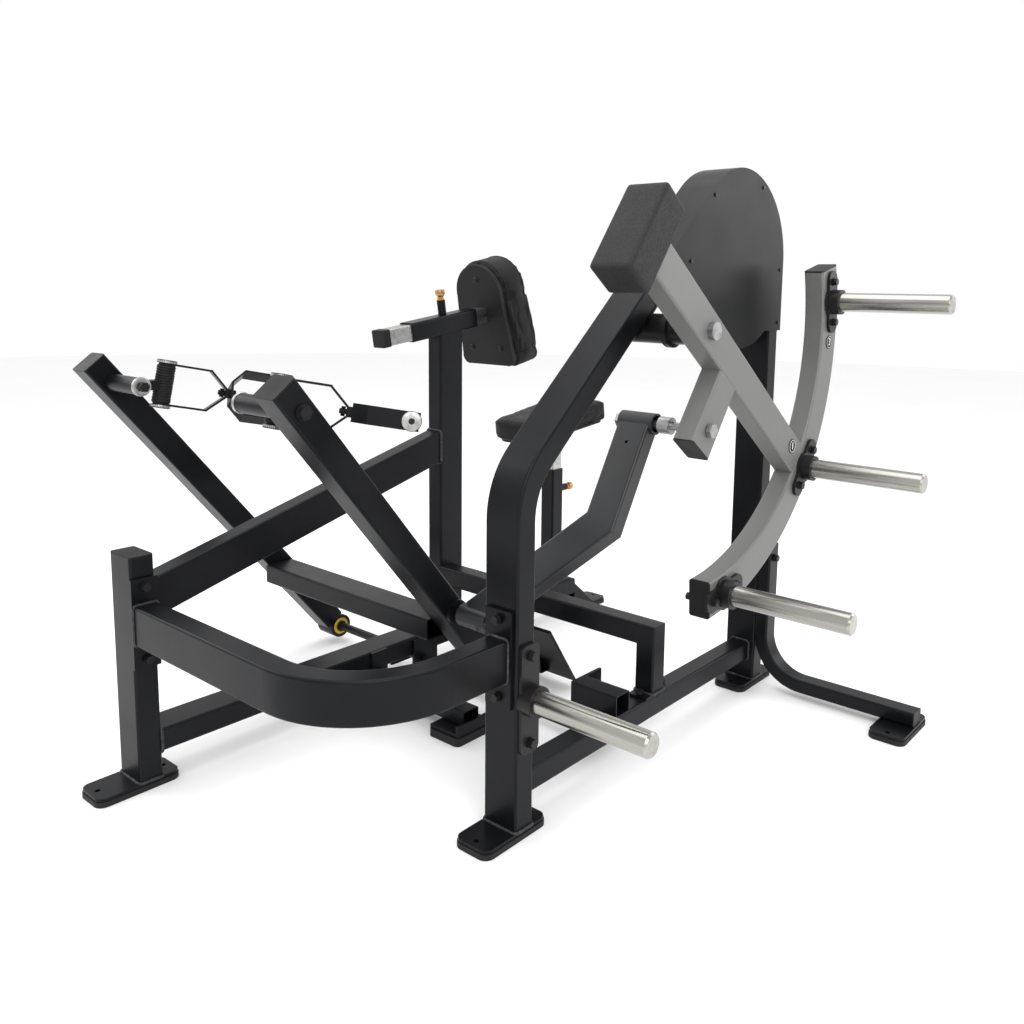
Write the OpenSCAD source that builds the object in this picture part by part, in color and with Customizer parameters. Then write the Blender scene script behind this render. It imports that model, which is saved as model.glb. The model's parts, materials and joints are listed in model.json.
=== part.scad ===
// Plate-loaded seated row with a chest pad, a swinging weight arm and swivel handles.
// X runs from the handle end to the seat end, Y across, Z up; the floor is Z = 0.

/* [Tube stock] */
// Wide side of the main rectangular tube
tube_w = 90; // [80:1:100]
// Narrow side of the main rectangular tube
tube_t = 54; // [48:1:60]
// Wall of every steel tube
wall = 3; // [2:0.5:4]
// Corner radius of the tubes
corner_r = 6; // [4:1:8]

/* [Frame] */
// Centre plane of the near rail, arch and column
near_y = -315; // [-340:1:-300]
// Centre plane of the far rail, chest pad and seat
spine_y = 447; // [430:1:460]
// Underside of both floor rails
rail_z = 76; // [70:1:90]
// Front post position along X
post_x = -819; // [-840:1:-800]
// Front post height
post_top = 535; // [500:1:560]
// Upright leg of the arch along X
upright_x = -418; // [-430:1:-405]
// Slope of the arch above the horizontal
arch_slope = 42; // [38:1:46]
// Centre of the arch's upper bend, along X
arch_cx = 402; // [390:1:420]
// Centre of the arch's upper bend, above the floor
arch_cz = 1213; // [1180:1:1240]
// Centre-line radius of the upper bend
arch_r = 198; // [180:1:220]
// Centre-line radius of the lower bend
elbow_r = 170; // [140:1:200]
// Length of a foot plate
foot_len = 185; // [160:1:200]
// Height of the guard tube's centre line
guard_z = 387; // [360:1:410]
// Centre-line radius of the guard tube's bend
guard_r = 220; // [180:1:240]

/* [Weight arm] */
// Pivot of the weight arm along X
pivot_x = 21; // [10:1:30]
// Pivot of the weight arm above the floor
pivot_z = 1044; // [1034:1:1050]
// Centre plane of the weight arm
arm_y = -477; // [-485:1:-470]
// Slope of the arm below the horizontal at rest
arm_slope = 36.5; // [35:0.5:38]
// In-plane height of the arm tube
arm_h = 86; // [80:1:92]
// Centre-line radius of the horn carrier
arc_r = 625; // [610:1:640]
// Diameter of a weight horn
horn_d = 50; // [48:0.5:50]
// Free length of a weight horn
horn_len = 290; // [250:5:320]

/* [Row lever] */
// Lever axle along X
axle_x = -4; // [-10:1:0]
// Lever axle above the floor
axle_z = 57; // [55:1:60]
// Lean of the lever arms from the vertical
lever_lean = 39.2; // [37:0.1:41]
// Arm length from the axle
lever_len = 1121; // [1050:5:1150]
// Distance between the centre planes of the two arms
lever_gap = 760; // [740:5:780]
// Link pin: distance up the near arm from the axle
link_r = 380; // [370:1:390]
// Link pin: offset square to the arm, toward the seat
link_off = 0; // [0:1:4]

/* [Hidden] */
$fn = 64;
e = 0.01;
org = [27, -24.5, 0];
plate = 8;
// Hair gap between tube lengths that are butted and welded
seam = 0.01;
foot_t = 12;
base_t = 8;
base_z = foot_t + base_t;
rail_c = rail_z + tube_t / 2;
rail_top = rail_z + tube_t;
column_x = arch_cx + arch_r;
turn = 90 - arch_slope;
top_s = [arch_cx - arch_r * sin(arch_slope), arch_cz + arch_r * cos(arch_slope)];
elbow_sx = upright_x + elbow_r - elbow_r * sin(arch_slope);
elbow_sz = top_s[1] - (top_s[0] - elbow_sx) * tan(arch_slope);
upright_end = elbow_sz - elbow_r * cos(arch_slope);
arm_w = 54;
pin_u = 134;
pin_v = 176;
stub_end = 226;
shaft_d = 30;
axle_d = 25;
near_arm_y = spine_y - lever_gap / 2;
far_arm_y = spine_y + lever_gap / 2;
arm_ty = 72;
arm_tx = 65;
up = [-sin(lever_lean), cos(lever_lean)];
side = [cos(lever_lean), sin(lever_lean)];
pin_a = [axle_x + link_r * up[0] + link_off * side[0], axle_z + link_r * up[1] + link_off * side[1]];
pin_b = [pivot_x + pin_u * cos(arm_slope) - pin_v * sin(arm_slope),
         pivot_z - pin_u * sin(arm_slope) - pin_v * cos(arm_slope)];
pin_b3 = [pin_b[0], near_y, pin_b[1]];
elbow_pt = [-105, near_y, 600];
stub_len = 150;
pin_a3 = [pin_a[0], -50, pin_a[1]];
link_end = -6;
chest_x = 125;
chest_top = 990;
sleeve_tilt = 9;
sleeve_z = 1025;
seat_x = 621;
seat_tilt = 8.3;
stub_r = 1058;
splay = 1.04;
horn_angles = [5.9, -36.5, -81.2];

module at() translate(org) children();

// Rounded rectangle, a along X and b along Y
module rr(a, b, r) union() {
    square([a - 2 * r, b], center = true);
    square([a, b - 2 * r], center = true);
    for (i = [-1, 1], j = [-1, 1]) translate([i * (a / 2 - r), j * (b / 2 - r)]) circle(r);
}

// Section of a hollow rectangular tube
module sect(a, b, w = wall) difference() {
    rr(a, b, corner_r);
    rr(a - 2 * w, b - 2 * w, corner_r - w);
}

module tube_z(x, y, z0, z1, a, b) translate([x, y, z0]) linear_extrude(z1 - z0) sect(a, b);
module tube_x(x0, x1, y, z, b, h) translate([x0, y, z]) rotate([0, 90, 0]) linear_extrude(x1 - x0) sect(h, b);
module tube_y(x, y0, y1, z, a, h) translate([x, y0, z]) rotate([-90, 0, 0]) linear_extrude(y1 - y0) sect(a, h);

// Children drawn in the X-Z plane: local X stays, local Y becomes Z, thickness runs to -Y from y1
module in_xz(y1) translate([0, y1, 0]) rotate([90, 0, 0]) children();

// Straight and bent lengths of the main tube, each starting where the last one ended
module run(l) {
    translate([0, 0, seam]) linear_extrude(l - 2 * seam) sect(tube_t, tube_w);
    translate([0, 0, l]) children();
}
module bend(r, a) {
    translate([-r, 0, 0]) {
        rotate([90, 0, 0]) rotate_extrude(angle = a, $fn = 128) translate([r, 0]) sect(tube_t, tube_w);
        rotate([0, -a, 0]) translate([r, 0, 0]) children();
    }
}

module rod_y(x, y0, y1, z, d) translate([x, y0, z]) rotate([-90, 0, 0]) cylinder(h = y1 - y0, d = d);

module foot_base(x, y, along = 0) translate([x, y, foot_t]) rotate([0, 0, along]) linear_extrude(base_t)
    difference() {
        rr(foot_len, 92, 20);
        for (s = [-1, 1]) translate([s * (foot_len / 2 - 18), 0]) circle(d = 12);
    }

module hex_bolt(h = 9, af = 17) { cylinder(h = h, d = af / cos(30), $fn = 6); }

// Bolt along Y through y0..y1, head at the -Y end, nut at the other
module bolt_y(x, y0, y1, z, d = 10) {
    rod_y(x, y0, y1, z, d);
    translate([x, y0, z]) rotate([90, 0, 0]) union() { cylinder(h = 2, d = 22); hex_bolt(10); }
    translate([x, y1, z]) rotate([-90, 0, 0]) union() { cylinder(h = 2, d = 22); hex_bolt(10); }
}
module bolt_x(x0, x1, y, z, d = 10) {
    translate([x0, y, z]) rotate([0, 90, 0]) cylinder(h = x1 - x0, d = d);
    translate([x0, y, z]) rotate([0, -90, 0]) union() { cylinder(h = 2, d = 22); hex_bolt(10); }
    translate([x1, y, z]) rotate([0, 90, 0]) union() { cylinder(h = 2, d = 22); hex_bolt(10); }
}
module hole_y(x, y0, y1, z, d = 10) rod_y(x, y0, y1, z, d);
module hole_x(x0, x1, y, z, d = 10) translate([x0, y, z]) rotate([0, 90, 0]) cylinder(h = x1 - x0, d = d);

// ---- fixed frame ----
out_bolts = [240, 385];
storage_x = upright_x + 6;
storage_z = 303;
guard_bolts = [guard_z - 80, guard_z + 84];

module main_arch() color("#1b1c20") at() difference() {
    union() {
        translate([column_x, near_y, base_z - 1]) run(arch_cz - base_z + 1) bend(arch_r, 180 - turn)
            run(norm(top_s - [elbow_sx, elbow_sz])) bend(elbow_r, turn)
            run(upright_end - base_z + 1);
        foot_base(upright_x - 20, near_y);
        foot_base(column_x, near_y);
        // mounting pad under the slope for the arm's bearings
        translate([pivot_x, near_y, pivot_z]) rotate([0, -arch_slope, 0]) translate([-70, -45, 36.5])
            cube([140, 90, 6]);
    }
    for (z = guard_bolts) hole_x(upright_x - 50, upright_x + 50, near_y, z);
    for (s = [-1, 1]) hole_y(storage_x, near_y - 60, near_y + 60, storage_z + s * 93);
    for (z = out_bolts) hole_y(column_x, near_y - 60, near_y + 60, z);
    translate([pivot_x, near_y, pivot_z]) rotate([0, -arch_slope, 0])
        for (s = [-1, 1]) translate([s * 52, 0, 30]) cylinder(h = 19, d = 10);
}

module near_rail() color("#1b1c20") at() difference() {
    tube_x(upright_x + tube_t / 2, column_x - tube_t / 2, near_y, rail_c, tube_t, tube_t);
    for (x = [62, 158]) translate([x, near_y, rail_z - 5]) cylinder(h = 70, d = 10);
}

module front_post() color("#1b1c20") at() difference() {
    union() {
        tube_z(post_x, spine_y, base_z, post_top, tube_t, tube_w);
        foot_base(post_x - 25, spine_y);
    }
    for (z = guard_bolts) hole_y(post_x, spine_y - 60, spine_y + 60, z);
}

module guard_tube() color("#1b1c20") at() {
    y0 = spine_y - tube_w / 2;
    x1 = upright_x - tube_t / 2;
    difference() {
        union() {
            tube_y(post_x, near_y + guard_r, y0 - plate, guard_z, tube_t, tube_w);
            translate([post_x + guard_r, near_y + guard_r, guard_z]) rotate([0, 0, 180])
                rotate_extrude(angle = 90, $fn = 128) translate([guard_r, 0]) sect(tube_t, tube_w);
            tube_x(post_x + guard_r, x1 - plate, near_y, guard_z, tube_t, tube_w);
            translate([post_x - 30, y0 - plate, guard_z - 100]) cube([60, plate, 204]);
            translate([x1 - plate, near_y - 35, guard_z - 100]) cube([plate, 70, 204]);
        }
        for (z = guard_bolts) {
            hole_y(post_x, y0 - 20, y0 + 5, z);
            hole_x(x1 - 20, x1 + 5, near_y, z);
        }
    }
}

module far_rail() color("#1b1c20") at() difference() {
    union() {
        tube_x(post_x + tube_t / 2, 700, spine_y, rail_c, tube_w, tube_t);
        // raked tail down to the rear foot
        intersection() {
            translate([672, spine_y, rail_c]) rotate([0, 130, 0]) linear_extrude(190) sect(tube_t, tube_w);
            translate([700, spine_y - 60, base_z]) cube([200, 120, 130]);
        }
        foot_base(790, spine_y);
        // cheeks that carry the lever axle under the rail
        for (s = [-1, 1]) translate([axle_x, spine_y + s * (tube_w / 2 + plate / 2), 0])
            translate([-45, -plate / 2, 22]) cube([90, plate, rail_top - 30]);
    }
    rod_y(axle_x, spine_y - 80, spine_y + 80, axle_z, axle_d);
}

module chest_post() color("#1b1c20") at() tube_z(chest_x, spine_y, rail_top, chest_top, tube_w, tube_t);

module slope_tube() color("#1b1c20") at() {
    x0 = post_x + tube_t / 2;
    x1 = chest_x - tube_w / 2;
    a = 15.4;
    intersection() {
        translate([x0 - 60, spine_y, 428 - 60 * tan(a)]) rotate([0, 90 - a, 0])
            linear_extrude((x1 - x0 + 120) / cos(a)) sect(tube_w, tube_t);
        translate([x0, spine_y - 50, 300]) cube([x1 - x0, 100, 500]);
    }
}

module seat_brace() color("#1b1c20") at() difference() {
    x = 103;
    z = 283;
    union() {
        intersection() {
            tube_z(x, near_y, rail_top + 6, z + tube_t / 2, tube_t, tube_t);
            translate([x, near_y, z]) rotate([45, 0, 0]) translate([-50, -300, -150]) cube([100, 300, 400]);
        }
        intersection() {
            tube_y(x, near_y - tube_t / 2, spine_y - tube_t / 2, z, tube_t, tube_t);
            translate([x, near_y, z]) rotate([45, 0, 0]) translate([-50, 0, -900]) cube([100, 900, 1800]);
        }
        translate([50, near_y - 27, rail_top]) cube([120, 54, 6]);
    }
    for (bx = [62, 158]) translate([bx, near_y, rail_z - 5]) cylinder(h = 70, d = 10);
}

out_t = 38;
out_r = 124;
out_y = near_y - tube_w / 2 - out_t / 2;
out_end = -820;
module outrigger() color("#1b1c20") at() difference() {
    zc = base_z + out_t / 2;
    union() {
        tube_z(column_x, out_y, zc + out_r, 420, tube_t, out_t);
        translate([column_x, out_y - out_r, zc + out_r]) rotate([90, 0, 90])
            rotate([0, 0, -90]) rotate_extrude(angle = 90, $fn = 128) translate([out_r, 0]) sect(out_t, tube_t);
        tube_y(column_x, out_end, out_y - out_r, zc, tube_t, out_t);
        foot_base(column_x - 18, out_end + 40);
    }
    for (z = out_bolts) hole_y(column_x, out_y - 60, out_y + 60, z);
}

foot_xy = [[upright_x - 20, near_y], [column_x, near_y], [post_x - 25, spine_y], [790, spine_y],
           [column_x - 18, out_end + 40]];
module rubber_feet() color("#101113") at() for (p = foot_xy) translate([p[0], p[1], 0])
    linear_extrude(foot_t) difference() {
        rr(foot_len + 4, 96, 22);
        for (s = [-1, 1]) translate([s * (foot_len / 2 - 18), 0]) circle(d = 20);
    }

module tube_end_caps() color("#141518") at() {
    translate([post_x, spine_y, post_top]) linear_extrude(4) rr(tube_t, tube_w, corner_r);
    translate([column_x, out_y, 420]) linear_extrude(3) rr(tube_t, out_t, corner_r);
    translate([column_x, out_end - 3, base_z + out_t / 2]) rotate([-90, 0, 0]) linear_extrude(3)
        rr(tube_t, out_t, corner_r);
}

module frame_bolts() color("#2a2b2e") at() {
    shield_screws();
    for (z = guard_bolts) {
        bolt_y(post_x, spine_y - tube_w / 2 - plate - 2, spine_y + tube_w / 2 + 2, z);
        bolt_x(upright_x - tube_t / 2 - plate - 2, upright_x + tube_t / 2 + 2, near_y, z);
    }
    for (z = out_bolts) bolt_y(column_x, out_y - out_t / 2 - 2, near_y + tube_w / 2 + 2, z);
    for (s = [-1, 1])
        bolt_y(storage_x, near_y - tube_w / 2 - 10, near_y + tube_w / 2 + 2, storage_z + s * 93);
    for (x = [62, 158]) translate([x, near_y, 0]) {
        translate([0, 0, rail_z - 2]) cylinder(h = tube_t + 10, d = 10);
        translate([0, 0, rail_top + 8]) hex_bolt(9);
        translate([0, 0, rail_z - 11]) hex_bolt(9);
    }
}

// ---- shield over the arch's top ----
shield_r = arch_r + tube_t / 2 + 4.5;
shield_z0 = 1027;
module shield_shape(g = 0) {
    r = shield_r - g;
    a = arch_slope;
    p = [arch_cx - r * sin(a), arch_cz + r * cos(a)];
    l = 258;
    q = p - l * [cos(a), sin(a)];
    b = [351 + g, shield_z0 + g];
    union() {
        translate([arch_cx, arch_cz]) circle(r, $fn = 160);
        polygon([p, q + [g, 0], b, [arch_cx + r, shield_z0 + g], [arch_cx + r, arch_cz], [arch_cx, arch_cz]]);
    }
}
module shield_half(t0, t1) {
    // t0 is the plate's outer face, t1 the open side
    s = sign(t1 - t0);
    difference() {
        in_xz(max(t0, t1)) linear_extrude(abs(t1 - t0)) shield_shape();
        in_xz(max(t0 + s * 3, t1 + s)) linear_extrude(abs(t1 - t0) - 2) shield_shape(3);
        // the slope and the column leave through the open corner
        translate([arch_cx - 20, near_y - 46, shield_z0 - 5]) cube([shield_r + 16.5, 92, 20]);
        translate([elbow_sx, near_y, elbow_sz]) rotate([0, 90 - arch_slope, 0])
            translate([-29, -46, 300]) cube([58, 92, 460]);
    }
}
screw_at = [[arch_cx - 150, arch_cz + 150], [arch_cx + 95, arch_cz + 190], [arch_cx + 212, arch_cz - 20],
            [arch_cx + 212, shield_z0 + 22], [150, 1200]];
module shield_front() color("#191a1e") at() difference() {
    shield_half(near_y - 50, near_y + 1);
    for (p = screw_at) hole_y(p[0], near_y - 60, near_y - 40, p[1], 5);
}
module shield_back() color("#191a1e") at() shield_half(near_y + 50, near_y + 1.2);
module shield_screws() for (p = screw_at) {
    rod_y(p[0], near_y - 50, near_y - 46, p[1], 5);
    rod_y(p[0], near_y - 53, near_y - 50, p[1], 10);
}

// ---- weight arm bearings ----
module block_shape() union() {
    translate([-62, -36.5]) square([124, 14]);
    circle(34);
    translate([-34, -36.5]) square([68, 36.5]);
}
module arch_bearings() color("#1a1b1d") at() translate([pivot_x, near_y, pivot_z]) rotate([0, 180 - arch_slope, 0])
    translate([0, 18, 0]) rotate([90, 0, 0]) difference() {
        union() {
            linear_extrude(36) block_shape();
            // long hub that carries the shaft out to the arm
            cylinder(h = near_y - arm_y - arm_w / 2 + 15, d = 68);
            translate([0, 0, 96]) cylinder(h = 14, d = 84);
        }
        translate([0, 0, -1]) cylinder(h = 300, d = shaft_d + 0.06);
        for (k = [-1, 1]) translate([k * 52, -40, 18]) rotate([-90, 0, 0]) cylinder(h = 30, d = 10);
    }

flange_bolt = 54;
module flange(d_collar, d_hole) difference() {
    union() {
        linear_extrude(8) union() {
            circle(40);
            square([50, 124], center = true);
            for (s = [-1, 1]) translate([0, s * 58]) circle(25);
        }
        translate([0, 0, 7]) cylinder(h = 26, d = d_collar);
    }
    translate([0, 0, -1]) cylinder(h = 60, d = d_hole);
    for (s = [-1, 1]) translate([0, s * flange_bolt, -1]) cylinder(h = 12, d = 10);
}
shank_d = 44;
// l is the whole length; the first neck millimetres are a slimmer shank that sits in the collar
module cylinder_horn(l, neck) union() {
    cylinder(h = neck, d = shank_d);
    translate([0, 0, neck]) cylinder(h = l - 4 - neck, d = horn_d);
    translate([0, 0, l - 4]) cylinder(h = 4, d1 = horn_d, d2 = horn_d - 6);
}
module horn_shape() cylinder_horn(horn_len + 30, 33.5);
module storage_horn() color("#b9b6ae") at()
    translate([storage_x, near_y - tube_w / 2 - 8, storage_z]) rotate([90, 0, 0])
        cylinder_horn(horn_len + 8, 25.5);
module storage_flange() color("#16171a") at() translate([storage_x, near_y - tube_w / 2, storage_z])
    rotate([90, 0, 0]) difference() {
        union() {
            linear_extrude(8) rr(54, 232, 14);
            cylinder(h = 33, d = 66);
        }
        translate([0, 0, 8]) cylinder(h = 60, d = shank_d);
        for (s = [-1, 1]) translate([0, s * 93, -1]) cylinder(h = 12, d = 10);
    }

module stop_block() color("#1b1c20") at() union() {
    tube_y(-49, near_y - 27, -218, rail_top + 27, tube_t, tube_t);
    translate([-76, -218, rail_top]) cube([54, 4, 54]);
}
module axle_hanger() color("#1b1c20") at() difference() {
    union() {
        translate([-76, -213.8, 20]) cube([112, plate, 164]);
        rod_y(axle_x, -206, -150, axle_z, 44);
    }
    rod_y(axle_x, -230, -100, axle_z, axle_d);
}
module lever_axle() color("#8f9196") at() union() {
    rod_y(axle_x, -222, far_arm_y + 46, axle_z, axle_d);
    rod_y(axle_x, -226, -214.2, axle_z, 36);
    rod_y(axle_x, far_arm_y + 38, far_arm_y + 50, axle_z, 36);
    for (y = [near_arm_y - 42.5, near_arm_y + 37.5, far_arm_y - 42.5]) rod_y(axle_x, y, y + 5, axle_z, 34);
}

// low step that braces the axle beside the near arm
module side_step() color("#1b1c20") at() union() {
    tube_y(-173, 40, spine_y - tube_w / 2, 50, tube_t, 40);
    translate([-200, spine_y - tube_w / 2 - 8, 30]) cube([54, 8, 100]);
    translate([-238, 20, 20]) cube([120, 100, 10]);
    translate([-238, 20, 29]) cube([120, 8, 22]);
    // sloping foot plate on its own cross tube
    tube_y(205, 110, spine_y - tube_w / 2, 50, tube_t, 40);
    translate([0, 125, 0]) rotate([90, 0, 0]) linear_extrude(105)
        polygon([[114, 200], [232, 21], [222, 21], [105, 195]]);
}
module step_tread() color("#101113") at() translate([-178, 70, 0]) linear_extrude(20) rr(130, 108, 14);

// ---- weight arm (turns on pivot_x, pivot_z) ----
module arm_frame() translate([pivot_x, arm_y, pivot_z]) rotate([0, arm_slope, 0]) children();

// the arm stops where its corners meet the arc's inner face
arm_end = sqrt(pow(arc_r - 45, 2) - pow(arm_h / 2, 2)) - 0.1;
module weight_arm() color("#a9abac") at() difference() {
    union() {
        arm_frame() difference() {
            translate([-340, 0, 0]) rotate([0, 90, 0]) linear_extrude(340 + arm_end) sect(arm_h, arm_w);
            rotate([90, 0, 0]) cylinder(h = 80, d = shaft_d, center = true);
        }
        arm_frame() rotate([90, 0, 0]) difference() {
            cylinder(h = arm_w - 2, d = 46, center = true);
            cylinder(h = 80, d = shaft_d, center = true);
        }
        arm_frame() translate([pin_u, 0, -stub_end]) difference() {
            linear_extrude(stub_end - arm_h / 2 + 1) sect(86, arm_w);
            translate([0, 0, stub_end - pin_v]) rotate([90, 0, 0]) cylinder(h = 80, d = 20, center = true);
        }
    }
}
module horn_arc() color("#a9abac") at() difference() {
    translate([pivot_x, arm_y, pivot_z]) rotate([90, 0, 0]) rotate([0, 0, -86.5])
        rotate_extrude(angle = 100.5, $fn = 200) translate([arc_r, 0]) sect(90, arm_w);
    for (a = horn_angles) translate([pivot_x + arc_r * cos(a), arm_y, pivot_z + arc_r * sin(a)])
        rotate([90, 0, 0]) rotate([0, 0, a]) for (s = [-1, 1]) translate([0, s * flange_bolt, 0])
            cylinder(h = 80, d = 10, center = true);
}
module counterweight() color("#2b2b2b") at() arm_frame() difference() {
    translate([-358, -50, -106]) cube([88, 100, 212]);
    translate([-340, -27, -43]) cube([90, 54, 86]);
}
module pivot_shaft() color("#9a9c9f") at() union() {
    rod_y(pivot_x, arm_y - 34, near_y + 30, pivot_z, shaft_d);
    rod_y(pivot_x, arm_y - 40, arm_y - 27, pivot_z, 40);
    rod_y(pivot_x, near_y + 19, near_y + 28, pivot_z, 44);
}
module on_arc(a) translate([pivot_x + arc_r * cos(a), arm_y - arm_w / 2, pivot_z + arc_r * sin(a)])
    rotate([90, 0, 0]) rotate([0, 0, a]) children();
module horn_flanges() color("#16171a") at() {
    for (a = horn_angles) on_arc(a) rotate([0, 0, 0]) flange(66, shank_d);
}
module flange_bolts() color("#222326") at() for (a = horn_angles, s = [-1, 1]) on_arc(a)
    translate([0, s * flange_bolt, 0]) union() {
        translate([0, 0, -arm_w]) cylinder(h = arm_w + 8, d = 10);
        translate([0, 0, 8]) cylinder(h = 2, d = 22);
        translate([0, 0, 9]) hex_bolt(10);
        translate([0, 0, -arm_w - 10]) hex_bolt(10);
    }
module horn_k(k) color("#b9b6ae") at() on_arc(horn_angles[k]) horn_shape();
module horn_top() horn_k(0);
module horn_middle() horn_k(1);
module horn_bottom() horn_k(2);
module arm_pin() color("#9a9c9f") at() union() {
    rod_y(pin_b[0], arm_y - arm_w / 2 - 3, near_y + 50, pin_b[1], 20);
    translate([pin_b[0], arm_y - arm_w / 2 - 2, pin_b[1]]) rotate([90, 0, 0]) hex_bolt(11, 30);
    translate([pin_b[0], near_y + 49, pin_b[1]]) rotate([-90, 0, 0]) hex_bolt(10, 30);
}
module arm_caps() color("#141518") at() difference() {
    union() {
    for (a = [14, -86.5]) translate([pivot_x, arm_y, pivot_z]) rotate([0, -a, 0]) translate([arc_r, 0, 0])
        translate([0, 0, a > 0 ? 0 : -4]) linear_extrude(4) rr(90, arm_w, corner_r);
    arm_frame() translate([pin_u, 0, -stub_end - 3]) linear_extrude(3) rr(86, arm_w, corner_r);
    }
    // the lowest flange bolt passes through the edge of the end cap
    on_arc(horn_angles[2]) translate([0, -flange_bolt, -arm_w - 5]) cylinder(h = arm_w + 10, d = 10.4);
}
module number_discs() color("#16171a") at() {
    for (p = [[-4, arc_r], [-35.6, arc_r - 98]]) translate([pivot_x + p[1] * cos(p[0]), arm_y - arm_w / 2,
        pivot_z + p[1] * sin(p[0])]) rotate([90, 0, 0]) cylinder(h = 2, d = 36);
}

// ---- row lever (turns on the lever axle) ----
module lever_frame(y) translate([axle_x, y, axle_z]) rotate([0, -lever_lean, 0])
    rotate([y < spine_y ? splay : -splay, 0, 0]) children();

module row_lever() color("#1b1c20") at() difference() {
    union() {
        for (y = [near_arm_y, far_arm_y]) {
            difference() {
                lever_frame(y) translate([0, 0, 30]) linear_extrude(lever_len - 30) sect(arm_tx, arm_ty);
                lever_frame(y) rotate([90, 0, 0]) cylinder(h = 100, d = 60, center = true);
                lever_frame(y) translate([0, 0, stub_r]) rotate([90, 0, 0]) cylinder(h = 100, d = 18, center = true);
            }
            rod_y(axle_x, y - 36, y + 36, axle_z, 72);
        }
        tube_y(axle_x - 216, near_arm_y + 35, far_arm_y - 35, 288, tube_w, tube_t);
        // boss that carries the link's lower pin
        rod_y(pin_a[0], near_arm_y - 53, near_arm_y - 30, pin_a[1], 60);
    }
    for (y = [near_arm_y, far_arm_y]) rod_y(axle_x, y - 50, y + 50, axle_z, 52);
}
module lever_bearings() color("#c9b22e") at() for (y = [near_arm_y, far_arm_y], s = [-1, 1])
    difference() {
        rod_y(axle_x, y + s * 28 - 8, y + s * 28 + 8, axle_z, 52);
        rod_y(axle_x, y - 50, y + 50, axle_z, axle_d + 0.06);
    }
module lever_caps() color("#141518") at() for (y = [near_arm_y, far_arm_y])
    lever_frame(y) translate([0, 0, lever_len]) linear_extrude(4) rr(arm_tx, arm_ty, corner_r);
// Inner face of an arm at the height of its handle; k = 1 near arm, -1 far arm
stub_face = lever_gap / 2 - arm_ty / 2 + stub_r * tan(splay);
hx = axle_x + stub_r * up[0];
hz = axle_z + stub_r * up[1];
module handle_at(k) translate([hx, spine_y - k * stub_face, hz]) children();
module lever_bolts() color("#222326") at() for (k = [-1, 1]) handle_at(k) rotate([k * 90, 0, 0]) union() {
    translate([0, 0, arm_ty + 1]) cylinder(h = 3, d = 34);
    translate([0, 0, arm_ty + 3]) hex_bolt(11, 26);
    translate([0, 0, -stub_len - 6]) cylinder(h = arm_ty + stub_len + 9, d = 16);
    translate([0, 0, -stub_len - 14]) hex_bolt(9, 22);
}

// ---- drive link ----
link_u = (elbow_pt - pin_b3) / norm(elbow_pt - pin_b3);
link_w = (pin_a3 - elbow_pt) / norm(pin_a3 - elbow_pt);
mitre_n = (link_u + link_w) / norm(link_u + link_w);
side_u = [0, 1, 0];
side_w = side_u - 2 * (side_u * mitre_n) * mitre_n;
// Places children with Z along d and Y along s
module along(p, d, s) {
    c = cross(s, d);
    multmatrix([[c[0], s[0], d[0], p[0]], [c[1], s[1], d[1], p[1]], [c[2], s[2], d[2], p[2]], [0, 0, 0, 1]])
        children();
}
module mitre(k) along(elbow_pt, mitre_n, cross(mitre_n, [1, 0, 0]) / norm(cross(mitre_n, [1, 0, 0])))
    translate([-300, -300, k * (600 + seam) - 600]) cube([600, 600, 600 - (1 - k) * seam]);
// Lower pin: it is carried by the link and stops just short of the lever's boss
module link_pin() color("#9a9c9f") at() union() {
    rod_y(pin_a[0], -104, near_arm_y - 54, pin_a[1], 20);
    rod_y(pin_a[0], -108, -98, pin_a[1], 34);
}
module drive_link() color("#26272b") at() difference() {
    union() {
        intersection() {
            along(pin_b3, link_u, side_u) translate([0, 0, 8])
                linear_extrude(norm(elbow_pt - pin_b3) + 60) sect(45, 86);
            mitre(0);
        }
        intersection() {
            along(elbow_pt, link_w, side_w) translate([0, 0, -60])
                linear_extrude(norm(pin_a3 - elbow_pt) + 60) sect(45, 86);
            mitre(1);
        }
        rod_y(pin_b3[0], near_y - 50, near_y + 45, pin_b3[2], 50);
        rod_y(pin_a3[0], -96, link_end, pin_a3[2], 56);
    }
    rod_y(pin_b3[0], near_y - 100, near_y + 55, pin_b3[2], 40);
    rod_y(pin_a3[0], -110, 40, pin_a3[2], 40);
    // drain holes
    along(pin_b3, link_u, side_u) translate([0, 0, 60]) rotate([0, 90, 0]) cylinder(h = 40, d = 8);
    along(elbow_pt, link_w, side_w) translate([0, 0, 200]) rotate([0, 90, 0]) cylinder(h = 40, d = 8);
}
module link_bushes() color("#9a9c9f") at() {
    for (y = [near_y - 92, near_y + 17]) difference() {
        rod_y(pin_b[0], y, y + 30, pin_b[1], 40);
        rod_y(pin_b[0], y - 1, y + 31, pin_b[1], 20 + 0.06);
    }
    for (y = [-95.5, link_end - 20.5]) difference() {
        rod_y(pin_a[0], y, y + 20, pin_a[1], 40);
        rod_y(pin_a[0], y - 1, y + 21, pin_a[1], 20.06);
    }
}

// ---- handles ----
hub_off = 70;
hub_y = 118;
droop = 12;
yaw = [-20, 0, -40];
roll = [62, 0, 0];
yoke_l = 160;
grip_l = 128;
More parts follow.
